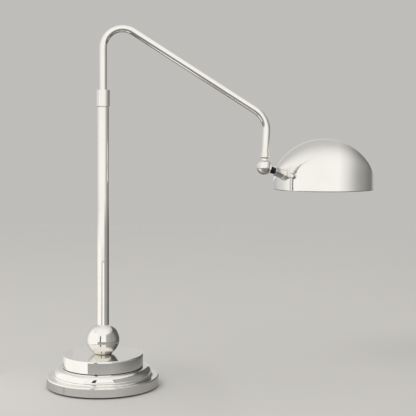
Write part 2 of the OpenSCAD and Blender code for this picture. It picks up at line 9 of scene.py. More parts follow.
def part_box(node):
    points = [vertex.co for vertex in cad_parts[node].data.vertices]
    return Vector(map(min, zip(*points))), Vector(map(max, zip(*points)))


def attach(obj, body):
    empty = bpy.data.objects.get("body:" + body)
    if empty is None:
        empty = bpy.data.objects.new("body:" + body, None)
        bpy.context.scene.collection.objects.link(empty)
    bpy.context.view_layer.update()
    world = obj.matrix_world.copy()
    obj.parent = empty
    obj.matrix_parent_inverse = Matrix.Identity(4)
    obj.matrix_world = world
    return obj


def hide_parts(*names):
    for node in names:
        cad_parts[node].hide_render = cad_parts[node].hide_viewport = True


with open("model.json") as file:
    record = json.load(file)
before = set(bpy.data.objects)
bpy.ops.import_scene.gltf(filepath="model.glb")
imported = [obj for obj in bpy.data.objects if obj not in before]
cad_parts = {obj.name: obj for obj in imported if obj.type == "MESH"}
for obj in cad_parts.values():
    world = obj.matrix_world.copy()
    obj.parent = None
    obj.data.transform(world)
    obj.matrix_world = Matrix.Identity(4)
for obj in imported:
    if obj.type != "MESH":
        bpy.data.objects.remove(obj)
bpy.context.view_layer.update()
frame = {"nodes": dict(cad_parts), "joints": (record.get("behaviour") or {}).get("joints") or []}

print("frame loaded:", len(frame["nodes"]), "nodes")

# lengths below are in millimetres, as in the part's source
mm = 0.001


# places that come from the frame

def nodeBox(node):
    low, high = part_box(node)
    return low / mm, high / mm


def nodeCentre(node):
    low, high = nodeBox(node)
    return (low + high) / 2


def jointNamed(name):
    return next(joint for joint in frame["joints"] if joint["name"] == name)


upward = Vector((0, 0, 1))
pivotPoint = Vector(jointNamed("shade_tilt")["pos_m"]) / mm
pivotAxis = Vector(jointNamed("shade_tilt")["axis"]).normalized()
tubeEndDirection = Vector(jointNamed("head_swivel")["axis"]).normalized()
socketDirection = (nodeCentre("ring_nut") - pivotPoint).normalized()
headYaw = math.atan2(socketDirection.y, socketDirection.x)
socketDrop = math.degrees(math.asin(-socketDirection.z))


# selection and placing

def deselectAll():
    bpy.ops.object.select_all(action="DESELECT")


def makeActive(piece):
    deselectAll()
    piece.select_set(True)
    bpy.context.view_layer.objects.active = piece


def applyPlace(piece, origin=(0, 0, 0), direction=upward, yaw=None):
    makeActive(piece)
    piece.rotation_mode = "QUATERNION"
    if yaw is None:
        piece.rotation_quaternion = upward.rotation_difference(direction)
    else:
        piece.rotation_quaternion = Matrix.Rotation(yaw, 3, "Z").to_quaternion()
    piece.location = Vector(origin) * mm
    bpy.ops.object.transform_apply(location=True, rotation=True, scale=True)


def smooth(piece, angle=32):
    makeActive(piece)
    bpy.ops.object.shade_smooth_by_angle(angle=math.radians(angle))


def facesOut():
    bpy.ops.mesh.select_all(action="SELECT")
    bpy.ops.mesh.remove_doubles(threshold=0.002 * mm)
    bpy.ops.mesh.normals_make_consistent(inside=False)


def combine(piece, tool, operation="DIFFERENCE"):
    makeActive(piece)
    bpy.ops.object.modifier_add(type="BOOLEAN")
    modifier = piece.modifiers[-1]
    modifier.operation = operation
    modifier.solver = "EXACT"
    modifier.object = tool
    bpy.ops.object.modifier_apply(modifier=modifier.name)
    makeActive(tool)
    bpy.ops.object.delete()
    smooth(piece)


def dress(piece, materials, body, slotName, *nodes):
    materials = materials if isinstance(materials, list) else [materials]
    for material in materials:
        piece.data.materials.append(material)
    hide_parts(*nodes)
    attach(piece, body)
    return piece


# outlines of turned pieces, as (radius, height) or (radius, height, fillet)

def arcPoints(centre, radius, startAngle, endAngle, fine=5):
    steps = max(2, math.ceil(abs(endAngle - startAngle) / fine))
    points = []
    for step in range(steps + 1):
        angle = math.radians(startAngle + (endAngle - startAngle) * step / steps)
        points.append((centre[0] + radius * math.cos(angle), centre[1] + radius * math.sin(angle)))
    return points


def roundCorners(corners, fine=9, support=0.4):
    points = []
    for i, corner in enumerate(corners):
        here = Vector(corner[:2])
        fillet = corner[2] if len(corner) > 2 else 0
        if fillet == 0:
            points.append(here)
            continue
        before = Vector(corners[i - 1][:2]) - here
        after = Vector(corners[(i + 1) % len(corners)][:2]) - here
        half = before.angle(after) / 2
        reach = fillet / math.tan(half)
        middle = here + (before.normalized() + after.normalized()).normalized() * fillet / math.sin(half)
        first = here + before.normalized() * reach
        last = here + after.normalized() * reach
        startAngle = math.degrees(math.atan2(first.y - middle.y, first.x - middle.x))
        endAngle = math.degrees(math.atan2(last.y - middle.y, last.x - middle.x))
        endAngle = startAngle + (endAngle - startAngle + 180) % 360 - 180
        # a loop just beside each fillet keeps the flat beside it flat
        points.append(first + before.normalized() * min(support, (before.length - reach) * 0.2))
        points += [Vector(point) for point in arcPoints(middle, fillet, startAngle, endAngle, fine)]
        points.append(last + after.normalized() * min(support, (after.length - reach) * 0.2))
    return points


def threadWaves(middle, depth, low, high, pitch, steps=8):
    count = round((high - low) / pitch * steps)
    points = []
    for i in range(count + 1):
        z = low + (high - low) * i / count
        points.append((middle - depth * math.cos(2 * math.pi * i / steps), z))
    return points


def drawOutline(name, points, closed=True):
    points = [Vector(point[:2]) * mm for point in points]
    deselectAll()
    bpy.ops.mesh.primitive_plane_add(size=mm)
    piece = bpy.context.object
    piece.name = name
    bpy.ops.object.mode_set(mode="EDIT")
    bpy.ops.mesh.select_all(action="SELECT")
    bpy.ops.mesh.merge(type="CENTER")
    bpy.ops.transform.translate(value=(points[0].x, 0, points[0].y))
    for here, there in zip(points, points[1:]):
        bpy.ops.mesh.extrude_region_move(
            TRANSFORM_OT_translate={"value": (there.x - here.x, 0, there.y - here.y)})
    if closed:
        bpy.ops.mesh.select_all(action="DESELECT")
        mesh = bmesh.from_edit_mesh(piece.data)
        for vertex in mesh.verts:
            vertex.select_set(len(vertex.link_edges) == 1)
        bmesh.update_edit_mesh(piece.data)
        bpy.ops.mesh.edge_face_add()
    bpy.ops.mesh.select_all(action="SELECT")
    return piece


def turned(name, points, origin=(0, 0, 0), direction=upward, steps=72, closed=True):
    piece = drawOutline(name, points, closed)
    bpy.ops.mesh.spin(steps=steps, angle=2 * math.pi, center=(0, 0, 0), axis=(0, 0, 1))
    facesOut()
    bpy.ops.object.mode_set(mode="OBJECT")
    applyPlace(piece, origin, direction)
    smooth(piece)
    return piece


def plate(name, points, thickness, origin=(0, 0, 0), yaw=0.0, edge=0.0):
    piece = drawOutline(name, points)
    bpy.ops.mesh.edge_face_add()
    bpy.ops.transform.translate(value=(0, -thickness / 2 * mm, 0))
    bpy.ops.mesh.extrude_region_move(TRANSFORM_OT_translate={"value": (0, thickness * mm, 0)})
    facesOut()
    if edge:
        bpy.ops.mesh.bevel(offset=edge * mm, segments=2, affect="EDGES", offset_type="OFFSET")
    bpy.ops.object.mode_set(mode="OBJECT")
    applyPlace(piece, origin, yaw=yaw)
    smooth(piece)
    return piece


def drill(name, radius, start, end, steps=48):
    start = Vector(start)
    end = Vector(end)
    points = [(0, 0), (radius, 0), (radius, (end - start).length), (0, (end - start).length)]
    return turned(name, points, start, end - start, steps, closed=False)


# shader nodes

def addNode(tree, kind, values=None, **settings):
    made = tree.nodes.new(kind)
    for label, value in settings.items():
        setattr(made, label, value)
    for label, value in (values or {}).items():
        if isinstance(value, bpy.types.NodeSocket):
            tree.links.new(value, made.inputs[label])
        else:
            made.inputs[label].default_value = value
    return made


def calculate(tree, operation, first, second=0.0, clamp=False):
    made = addNode(tree, "ShaderNodeMath", {0: first, 1: second}, operation=operation, use_clamp=clamp)
    return made.outputs[0]


def onVectors(tree, operation, first, second=(0, 0, 0), output="Vector"):
    made = addNode(tree, "ShaderNodeVectorMath", {0: first, 1: second}, operation=operation)
    return made.outputs[output]


def rescale(tree, value, low, high, newLow=0.0, newHigh=1.0, **settings):
    values = {"Value": value, "From Min": low, "From Max": high, "To Min": newLow, "To Max": newHigh}
    return addNode(tree, "ShaderNodeMapRange", values, **settings).outputs[0]


def blendColours(tree, factor, first, second):
    mix = addNode(tree, "ShaderNodeMix", {"Factor": factor}, data_type="RGBA")
    for label, value in ((6, first), (7, second)):
        if isinstance(value, bpy.types.NodeSocket):
            tree.links.new(value, mix.inputs[label])
        else:
            mix.inputs[label].default_value = (*value, 1)
    return mix.outputs[2]


def fillRamp(ramp, stops, smoothly=False):
    ramp.color_ramp.interpolation = "EASE" if smoothly else "LINEAR"
    elements = ramp.color_ramp.elements
    while len(elements) < len(stops):
        elements.new(0.5)
    for element, (place, value) in zip(elements, stops):
        element.position = place
        element.color = (*value, 1) if isinstance(value, tuple) else (value, value, value, 1)


def newGroup(name, inputs, outputs):
    group = bpy.data.node_groups.new(name, "ShaderNodeTree")
    for label, value in inputs.items():
        kind = "NodeSocketColor" if isinstance(value, tuple) else "NodeSocketFloat"
        socket = group.interface.new_socket(name=label, in_out="INPUT", socket_type=kind)
        socket.default_value = (*value, 1) if isinstance(value, tuple) else value
    for label, kind in outputs.items():
        group.interface.new_socket(name=label, in_out="OUTPUT", socket_type="NodeSocket" + kind)
    return group, addNode(group, "NodeGroupInput").outputs, addNode(group, "NodeGroupOutput").inputs


def makePolishMarks():
    group, given, wanted = newGroup(
        "polishMarks",
        {"Roughness": 0.05, "Haze": 0.06, "Haze Scale": 14.0, "Line Scale": 700.0, "Unevenness": 0.1},
        {"Roughness": "Float", "Haze": "Float", "Normal": "Vector"})
    place = addNode(group, "ShaderNodeTexCoord").outputs["Object"]
    patches = addNode(group, "ShaderNodeTexNoise", {
        "Vector": place, "Scale": given["Haze Scale"], "Detail": 4.0, "Roughness": 0.6})
    soft = rescale(group, patches.outputs["Fac"], 0.48, 0.72)
    lines = addNode(group, "ShaderNodeTexNoise", {
        "Vector": place, "Scale": given["Line Scale"], "Detail": 2.0, "Distortion": 1.5})
    haze = calculate(group, "MULTIPLY", soft, lines.outputs["Fac"])
    added = calculate(group, "MULTIPLY", haze, given["Haze"])
    group.links.new(calculate(group, "ADD", given["Roughness"], added), wanted["Roughness"])
    group.links.new(haze, wanted["Haze"])
    swell = addNode(group, "ShaderNodeTexNoise", {"Vector": place, "Scale": 22.0, "Detail": 1.0})
    bump = addNode(group, "ShaderNodeBump", {
        "Strength": given["Unevenness"], "Distance": 0.3 * mm, "Height": swell.outputs["Fac"]})
    group.links.new(bump.outputs["Normal"], wanted["Normal"])
    return group


def makeSpeckle():
    group, given, wanted = newGroup(
        "speckle",
        {"Dark": (0.1, 0.1, 0.1), "Light": (0.2, 0.2, 0.2), "Scale": 300.0, "Relief": 0.3, "Depth": 0.0001},
        {"Color": "Color", "Mask": "Float", "Normal": "Vector"})
    place = addNode(group, "ShaderNodeTexCoord").outputs["Object"]
    grain = addNode(group, "ShaderNodeTexNoise", {
        "Vector": place, "Scale": given["Scale"], "Detail": 5.0, "Roughness": 0.65})
    mask = rescale(group, grain.outputs["Fac"], 0.3, 0.7)
    group.links.new(mask, wanted["Mask"])
    group.links.new(blendColours(group, mask, given["Dark"], given["Light"]), wanted["Color"])
    bump = addNode(group, "ShaderNodeBump", {
        "Strength": given["Relief"], "Distance": given["Depth"], "Height": grain.outputs["Fac"]})
    group.links.new(bump.outputs["Normal"], wanted["Normal"])
    return group


def makeSettledDust():
    group, given, wanted = newGroup("settledDust", {"Amount": 0.1, "Scale": 160.0}, {"Mask": "Float"})
    place = addNode(group, "ShaderNodeTexCoord").outputs["Object"]
    normal = addNode(group, "ShaderNodeNewGeometry").outputs["Normal"]
    normal = addNode(group, "ShaderNodeSeparateXYZ", {0: normal})
    facing = rescale(group, normal.outputs["Z"], 0.5, 1.0)
    grains = addNode(group, "ShaderNodeTexNoise", {
        "Vector": place, "Scale": given["Scale"], "Detail": 6.0, "Roughness": 0.7})
    thick = rescale(group, grains.outputs["Fac"], 0.4, 0.75)
    lying = calculate(group, "MULTIPLY", facing, thick)
    group.links.new(calculate(group, "MULTIPLY", lying, given["Amount"], clamp=True), wanted["Mask"])
    return group


polishMarks = makePolishMarks()
speckle = makeSpeckle()
settledDust = makeSettledDust()


def newMaterial(name, **constants):
    material = bpy.data.materials.new(name)
    material.use_nodes = True
    shader = material.node_tree.nodes["Principled BSDF"]
    for label, value in constants.items():
        shader.inputs[label.replace("_", " ")].default_value = value
    return material, material.node_tree, shader


dustColour = (0.62, 0.6, 0.56)


def polishedMetal(name, bright, dull, marks, dust=0.05, **constants):
    material, tree, shader = newMaterial(name, Metallic=1.0, **constants)
    polish = addNode(tree, "ShaderNodeGroup", node_tree=polishMarks)
    for label, value in marks.items():
        polish.inputs[label].default_value = value
    settled = tree.nodes.new("ShaderNodeGroup")
    settled.node_tree = settledDust
    settled.inputs["Amount"].default_value = dust
    colour = blendColours(tree, polish.outputs["Haze"], bright, dull)
    dusty = settled.outputs["Mask"]
    tree.links.new(blendColours(tree, dusty, colour, dustColour), shader.inputs["Base Color"])
    rough = calculate(tree, "ADD", polish.outputs["Roughness"], calculate(tree, "MULTIPLY", dusty, 0.5))
    tree.links.new(rough, shader.inputs["Roughness"])
    tree.links.new(polish.outputs["Normal"], shader.inputs["Normal"])
    return material


def grainedSurface(name, grain, roughness=(0.5, 0.7), **constants):
    material, tree, shader = newMaterial(name, **constants)
    speck = tree.nodes.new("ShaderNodeGroup")
    speck.node_tree = speckle
    for label, value in grain.items():
        speck.inputs[label].default_value = (*value, 1) if isinstance(value, tuple) else value
    tree.links.new(speck.outputs["Color"], shader.inputs["Base Color"])
    span = rescale(tree, speck.outputs["Mask"], 0.0, 1.0, *roughness)
    tree.links.new(span, shader.inputs["Roughness"])
    tree.links.new(speck.outputs["Normal"], shader.inputs["Normal"])
    return material


finish = {
    "spun": polishedMetal("spunNickel", (0.87, 0.855, 0.825), (0.8, 0.775, 0.735),
                          {"Roughness": 0.045, "Haze": 0.09, "Unevenness": 0.05}),
    "shade": polishedMetal("shadeNickel", (0.89, 0.875, 0.845), (0.84, 0.82, 0.785),
                           {"Roughness": 0.075, "Haze": 0.09, "Unevenness": 0.04}),
    "turned": polishedMetal(
        "turnedNickel", (0.87, 0.85, 0.815), (0.79, 0.76, 0.715),
        {"Roughness": 0.03, "Haze": 0.07, "Haze Scale": 40.0, "Unevenness": 0.02}, dust=0.03),
    "tube": polishedMetal(
        "drawnTubeNickel", (0.88, 0.865, 0.83), (0.8, 0.775, 0.73),
        {"Roughness": 0.05, "Haze": 0.08, "Haze Scale": 24.0, "Unevenness": 0.03}, dust=0.03),
    "brass": polishedMetal("rawBrass", (0.8, 0.62, 0.31), (0.56, 0.4, 0.18),
                           {"Roughness": 0.22, "Haze": 0.3, "Haze Scale": 60.0}),
    "zinc": polishedMetal("zincSteel", (0.66, 0.67, 0.69), (0.5, 0.5, 0.5),
                          {"Roughness": 0.25, "Haze": 0.25, "Haze Scale": 90.0}),
    "steel": polishedMetal("oiledSteel", (0.5, 0.5, 0.5), (0.34, 0.33, 0.32),
                           {"Roughness": 0.3, "Haze": 0.3, "Haze Scale": 30.0}),
    "blackened": polishedMetal("blackenedSteel", (0.05, 0.05, 0.053), (0.03, 0.03, 0.032),
                               {"Roughness": 0.2, "Haze": 0.25, "Haze Scale": 80.0}),
    "bulbMetal": polishedMetal("rolledBulbMetal", (0.78, 0.78, 0.77), (0.62, 0.61, 0.6),
                               {"Roughness": 0.2, "Haze": 0.2, "Haze Scale": 80.0}),
    "iron": grainedSurface(
        "castIron", {"Dark": (0.05, 0.05, 0.055), "Light": (0.14, 0.14, 0.145), "Scale": 420.0,
                     "Relief": 0.6, "Depth": 0.0004}, (0.55, 0.8), Metallic=0.7),
    "felt": grainedSurface(
        "woolFelt", {"Dark": (0.012, 0.012, 0.013), "Light": (0.045, 0.044, 0.043), "Scale": 900.0,
                     "Relief": 0.8, "Depth": 0.0003}, (0.85, 1.0), Sheen_Weight=0.3),
    # black fibre for the washers: partly their own colour, partly painted shade in the thin gaps under the
    # drum and under the knuckle
    "fibreAndGapShade": grainedSurface(
        "blackFibreAndGapShade", {"Dark": (0.01, 0.01, 0.01), "Light": (0.03, 0.03, 0.03), "Scale": 700.0}),
    "blackPlastic": grainedSurface(
        "blackPlastic", {"Dark": (0.015, 0.015, 0.016), "Light": (0.03, 0.03, 0.031),
                         "Scale": 1400.0, "Relief": 0.2}, (0.4, 0.55)),
    "whitePlastic": grainedSurface(
        "whitePlastic", {"Dark": (0.66, 0.65, 0.6), "Light": (0.76, 0.75, 0.7),
                         "Scale": 500.0, "Relief": 0.1}, (0.35, 0.5)),
    "enamel": grainedSurface(
        "whiteEnamel", {"Dark": (0.77, 0.76, 0.73), "Light": (0.84, 0.835, 0.81), "Scale": 260.0,
                        "Relief": 0.12, "Depth": 0.0001}, (0.28, 0.4), Coat_Weight=0.3),
    "porcelain": grainedSurface(
        "glazedPorcelain", {"Dark": (0.74, 0.71, 0.65), "Light": (0.83, 0.81, 0.76),
                            "Scale": 220.0, "Relief": 0.08}, (0.12, 0.2), Coat_Weight=0.5),
    "glass": grainedSurface(
        "frostedGlass", {"Dark": (0.86, 0.85, 0.82), "Light": (0.93, 0.925, 0.9), "Scale": 1800.0,
                         "Relief": 0.15}, (0.4, 0.5), Transmission_Weight=0.5, IOR=1.5),
    "core": grainedSurface(
        "bulbCore", {"Dark": (0.72, 0.62, 0.36), "Light": (0.86, 0.8, 0.6), "Scale": 600.0}, (0.5, 0.7)),
}
print("finishes made:", len(finish))


# base

baseSettings = dict(bandHeight=17, bandEdge=2.6, cove=3, shelf=13.3, stepHeight=4.2, wall=1.6, rodHole=5.4,
                    bushRadius=5.5, bushMiddle=11)
drumSettings = dict(wall=1.6, edge=2.8, rodHole=5.4)
ballSettings = dict(lift=26, rodHole=5.4, stemHole=11.15)
stemSettings = dict(wall=1.5)
bushSettings = dict(bore=3.5, radius=5.5, flange=2)
clearance = 0.05


def makeFeltPad():
    low, high = nodeBox("felt_pad")
    r = high.x
    points = roundCorners([(0, low.z), (r, low.z, 0.9), (r, high.z, 0.5), (0, high.z)], fine=20)
    return turned("feltPad", points, steps=160, closed=False)


def makeBaseShell():
    s = baseSettings
    low, high = nodeBox("base_shell")
    r = high.x
    bandTop = low.z + s["bandHeight"]
    stepR = r - s["shelf"]
    quarter = high.z - bandTop - s["stepHeight"] + 1
    wall = s["wall"]
    points = roundCorners([
        (r - wall, low.z, 0.3), (r, low.z, 0.5), (r, bandTop, s["bandEdge"]),
        (stepR, bandTop - 0.4, s["cove"]),
        (stepR, high.z, quarter), (s["rodHole"], high.z, 0.2), (s["rodHole"], high.z - wall, 0.2),
        (stepR - wall, high.z - wall, quarter - wall), (stepR - wall, bandTop - wall, 0.4),
        (r - wall, bandTop - wall, 0.6)], fine=6)
    shell = turned("baseShell", points, steps=192)
    rear = (0, stepR - 2 * wall, s["bushMiddle"])
    outside = (0, r + wall, s["bushMiddle"])
    combine(shell, drill("bushHole", s["bushRadius"] + clearance, rear, outside))
    return shell


def makeDrumShell():
    s = drumSettings
    low, high = nodeBox("drum_shell")
    r = high.x
    inner = r - s["wall"]
    roof = high.z - s["wall"]
    points = roundCorners([
        (inner, low.z, 0.3), (r, low.z, 0.4), (r, high.z, s["edge"]), (s["rodHole"], high.z, 0.2),
        (s["rodHole"], roof, 0.2), (inner, roof, s["edge"] - s["wall"])])
    return turned("drumShell", points, steps=180)


def makeBaseBall():
    s = ballSettings
    low, high = nodeBox("base_ball")
    r = high.x
    middle = low.z + s["lift"]
    foot = math.sqrt(r * r - (middle - low.z) ** 2)
    footAngle = -math.degrees(math.asin((middle - low.z) / r))
    topAngle = math.degrees(math.acos(s["stemHole"] / r))
    seat = nodeBox("stem_tube")[0].z
    points = [(s["rodHole"], low.z), (foot - 0.6, low.z), (foot - 0.15, low.z + 0.02)]
    points += arcPoints((0, middle), r, footAngle + 0.6, topAngle - 0.8, 3)
    points += [(s["stemHole"] + 0.12, middle + r * math.sin(math.radians(topAngle)) - 0.12),
               (s["stemHole"], middle + r * math.sin(math.radians(topAngle)) - 0.5),
               (s["stemHole"], seat), (s["rodHole"], seat)]
    return turned("baseBall", points, steps=120)


def makeStemTube():
    low, high = nodeBox("stem_tube")
    r = high.x
    inner = r - stemSettings["wall"]
    points = roundCorners([
        (inner, low.z, 0.2), (r, low.z, 0.3), (r, high.z, 0.35), (inner, high.z, 0.2)], fine=15)
    return turned("stemTube", points, steps=96)


def makeCordBush():
    s = bushSettings
    low, high = nodeBox("cord_bush")
    middle = nodeCentre("cord_bush")
    flange = middle.x - low.x
    length = high.y - low.y
    inside, r, rim = s["bore"], s["radius"], s["flange"]
    points = roundCorners([
        (inside, 0, 1.2), (flange, 0, 0.8), (flange, rim, 0.3), (r, rim, 0.2), (r, length, 0.4),
        (inside, length, 0.3)])
    return turned("cordBush", points, (0, high.y, middle.z), Vector((0, -1, 0)), 64)


dress(makeFeltPad(), finish["felt"], "base", "felt", "felt_pad")
dress(makeBaseShell(), finish["spun"], "base", "polished_nickel", "base_shell")
dress(makeDrumShell(), finish["spun"], "base", "polished_nickel", "drum_shell")
dress(makeBaseBall(), finish["turned"], "base", "nickelled_brass", "base_ball")
dress(makeStemTube(), finish["tube"], "base", "polished_nickel", "stem_tube")
dress(makeCordBush(), finish["blackPlastic"], "base", "black_plastic", "cord_bush")
print("base and stem made")


# turning collar and arm

collarSettings = dict(bore=9.06, lipBore=7.35, lipHeight=2.7, screwHeight=522, screwHole=2.05)
armSettings = dict(wall=1.2, firstBend=36, firstSweep=122.5, secondBend=44, slope=32.5, corner=(302, 495.424),
                   bendOneHeight=622.2, screwHeight=361.5, screwHole=1.3, fromPivot=17.9)
endCollarSettings = dict(bore=7, radius=8.5, length=9.3)


def makeTurnCollar():
    s = collarSettings
    low, high = nodeBox("turn_collar")
    r = high.x
    lip = high.z - s["lipHeight"]
    points = roundCorners([
        (s["bore"], low.z, 0.2), (r, low.z, 0.5), (r, high.z, 0.8), (s["lipBore"], high.z, 0.4),
        (s["lipBore"], lip, 0.2), (s["bore"], lip, 0.2)], fine=12)
    collar = turned("turnCollar", points, steps=96)
    z = s["screwHeight"]
    combine(collar, drill("screwHole", s["screwHole"], (0, 0, z), (0, 2 * r, z)))
    return collar


def makeArmTube():
    s = armSettings
    low, high = nodeBox("arm_tube")
    r = -low.x
    lean = math.degrees(math.atan2(tubeEndDirection.x, tubeEndDirection.z))
    secondSweep = 90 + lean - s["slope"]
    tangent = s["secondBend"] * math.tan(math.radians(secondSweep / 2))
    slope = math.radians(s["slope"])
    slopeDirection = Vector((math.cos(slope), 0, -math.sin(slope)))
    slopeNormal = Vector((-slopeDirection.z, 0, slopeDirection.x))
    corner = Vector((s["corner"][0], 0, s["corner"][1]))
    firstMiddle = Vector((s["firstBend"], 0, s["bendOneHeight"]))
    slopeStart = firstMiddle + s["firstBend"] * slopeNormal
    secondStart = corner - tangent * slopeDirection
    secondMiddle = secondStart - s["secondBend"] * slopeNormal
    armEnd = pivotPoint + tubeEndDirection * s["fromPivot"]
    secondEnd = corner - tangent * tubeEndDirection

    deselectAll()
    bpy.ops.mesh.primitive_circle_add(vertices=48, radius=r * mm, location=(0, 0, low.z * mm))
    tube = bpy.context.object
    tube.name = "armTube"
    bpy.ops.object.transform_apply(location=True, rotation=True, scale=True)
    bpy.ops.object.mode_set(mode="EDIT")
    bpy.ops.mesh.select_all(action="SELECT")

    def straight(vector):
        bpy.ops.mesh.extrude_region_move(TRANSFORM_OT_translate={"value": vector * mm})

    straight(upward * (s["bendOneHeight"] - low.z))
    bpy.ops.mesh.spin(steps=36, angle=math.radians(s["firstSweep"]), center=firstMiddle * mm, axis=(0, -1, 0))
    straight(secondStart - slopeStart)
    bpy.ops.mesh.spin(steps=24, angle=math.radians(secondSweep), center=secondMiddle * mm, axis=(0, -1, 0))
    straight(armEnd - secondEnd)
    facesOut()
    bpy.ops.object.mode_set(mode="OBJECT")
    bpy.ops.object.modifier_add(type="SOLIDIFY")
    tube.modifiers[-1].thickness = s["wall"] * mm
    tube.modifiers[-1].offset = -1
    tube.modifiers[-1].use_even_offset = True
    bpy.ops.object.modifier_apply(modifier=tube.modifiers[-1].name)
    applyPlace(tube)
    z = s["screwHeight"]
    combine(tube, drill("stopScrewHoles", s["screwHole"], (0, -2 * r, z), (0, 2 * r, z)))
    return tube


def makeEndCollar():
    s = endCollarSettings
    bore, r, length = s["bore"], s["radius"], s["length"]
    armEnd = pivotPoint + tubeEndDirection * armSettings["fromPivot"]
    points = roundCorners([(bore, 0, 0.2), (r, 0, 0.5), (r, length, 0.5), (bore, length, 0.2)], fine=12)
    return turned("endCollar", points, armEnd, tubeEndDirection, 72)


dress(makeTurnCollar(), finish["turned"], "collar", "nickelled_brass", "turn_collar")
dress(makeArmTube(), finish["tube"], "arm", "polished_nickel", "arm_tube")
dress(makeEndCollar(), finish["turned"], "arm", "nickelled_brass", "end_collar")
print("collar and arm made")


# knuckle

knuckleSettings = dict(radius=14, neckRadius=6.5, neckTop=16.6, leadHole=4.05, leadHoleStart=9.5,
                       slotWidth=6.9,
                       eyePocket=9, slotHalf=5.5, slotUp=17.6, slotDown=77.4, pivotHole=2.56, headHole=4.25,
                       headSeat=10.4, headRadius=4.2, pinRadius=2.5, crown=13.9, driveDepth=1.2, driveWidth=1,
                       hexRadius=1.73)


def makeKnuckleBall():
    s = knuckleSettings
    r = s["radius"]
    neckZ = math.sqrt(r * r - s["neckRadius"] ** 2)
    neckAngle = math.degrees(math.asin(neckZ / r))
    points = arcPoints((0, 0), r, -90, neckAngle - 3, 4)
    points += [(s["neckRadius"] + 0.12, neckZ + 0.35), (s["neckRadius"], neckZ + 1)]
    points += roundCorners([(s["neckRadius"], neckZ + 1), (s["neckRadius"], s["neckTop"], 0.4),
                            (s["leadHole"], s["neckTop"], 0.2), (s["leadHole"], s["leadHoleStart"]),
                            (0, s["leadHoleStart"])])[1:]
    ball = turned("knuckleBall", points, pivotPoint, tubeEndDirection, 96, closed=False)
    pocket = arcPoints((0, 0), s["eyePocket"], 0, 355, 5)
    combine(ball, plate("eyePocket", pocket, s["slotWidth"], pivotPoint, headYaw))
    far = 3 * r
    up = math.radians(s["slotUp"])
    down = math.radians(s["slotDown"])
    upEdge = Vector((-math.sin(up), math.cos(up))) * s["slotHalf"]
    downEdge = Vector((-math.sin(down), -math.cos(down))) * s["slotHalf"]
    wedge = [upEdge, upEdge + far * Vector((math.cos(up), math.sin(up))),
             1.5 * far * Vector((math.cos(down / 2), -math.sin(down / 2))),
             downEdge + far * Vector((math.cos(down), -math.sin(down))), downEdge]
    combine(ball, plate("bladeSlot", wedge, s["slotWidth"], pivotPoint, headYaw))
    across = 2 * r * pivotAxis
    combine(ball, drill("pivotHole", s["pivotHole"], pivotPoint - across, pivotPoint + across))
    for side in (-1, 1):
        start = pivotPoint + side * s["headSeat"] * pivotAxis
        combine(ball, drill("headSeat", s["headHole"], start, start + side * r * pivotAxis))
    return ball


def headCrown():
    s = knuckleSettings
    edge = math.degrees(math.acos(s["headRadius"] / s["crown"]))
    return [(s["headRadius"], s["headSeat"])] + arcPoints((0, 0), s["crown"], edge, 90, 2)


def makePivotScrew():
    s = knuckleSettings
    seat, pin = s["headSeat"], s["pinRadius"]
    points = roundCorners([(0, -seat), (pin, -seat, 0.3), (pin, seat)])
    screw = turned("pivotScrew", points + headCrown(), pivotPoint, pivotAxis, 64, closed=False)
    floor = s["radius"] - s["driveDepth"]
    half = s["driveWidth"] / 2
    outline = [(floor, -half), (2 * floor, -half), (2 * floor, half), (floor, half)]
    slot = plate("screwSlot", outline, 4 * s["headRadius"])
    applyPlace(slot, pivotPoint, yaw=math.atan2(pivotAxis.y, pivotAxis.x))
    combine(screw, slot)
    return screw


def makePivotNut():
    s = knuckleSettings
    points = [(0, s["headSeat"])] + headCrown()
    nut = turned("pivotNut", points, pivotPoint, -pivotAxis, 64, closed=False)
    start = pivotPoint - pivotAxis * (s["radius"] - 2 * s["driveDepth"])
    combine(nut, drill("hexSocket", s["hexRadius"], start, start - pivotAxis * 4 * s["driveDepth"], 6))
    return nut


dress(makeKnuckleBall(), finish["turned"], "knuckle", "nickelled_brass", "knuckle_ball")
dress(makePivotScrew(), finish["turned"], "knuckle", "nickelled_brass", "pivot_screw")
dress(makePivotNut(), finish["turned"], "knuckle", "nickelled_brass", "pivot_nut")
print("knuckle made")


# head: blade, sleeve, ring, shade

headSettings = dict(bladeThickness=6, bladeHalf=4.5, eyeRadius=8, eyeHole=2.56, neckStart=15, neckRadius=6.5,
                    sleeveStart=22.8,
                    sleeveRadius=8.5, ringStart=43.8, ringRadius=10, ringThickness=5.6, seat=51.6,
                    shankRadius=4.5,
                    shankEnd=27.8, nippleRadius=4.9, nippleBore=3.2, nippleStart=31.8, nippleEnd=62.9)
shadeSettings = dict(skirt=14, shoulder=70, wall=1.2, bead=1.45)


def makeTiltBlade():
    s = headSettings
    half = s["bladeHalf"]
    eye = s["eyeRadius"]
    start = math.degrees(math.asin(half / eye))
    outline = arcPoints((0, 0), eye, start, 360 - start, 6)
    outline += [(s["neckStart"] + 1, -half), (s["neckStart"] + 1, half)]
    drop = Matrix.Rotation(math.radians(-socketDrop), 2)
    outline = [drop @ Vector(point) for point in outline]
    blade = plate("tiltBlade", outline, s["bladeThickness"], pivotPoint, headYaw)
    neck = roundCorners([
        (0, s["neckStart"]), (s["neckRadius"], s["neckStart"], 0.6), (s["neckRadius"], s["sleeveStart"], 0.3),
        (s["shankRadius"], s["sleeveStart"], 0.1), (s["shankRadius"], s["shankEnd"], 0.4),
        (0, s["shankEnd"])])
    combine(blade, turned("neck", neck, pivotPoint, socketDirection, 64, closed=False), "UNION")
    across = 20 * pivotAxis
    combine(blade, drill("eyeHole", s["eyeHole"], pivotPoint - across, pivotPoint + across))
    return blade


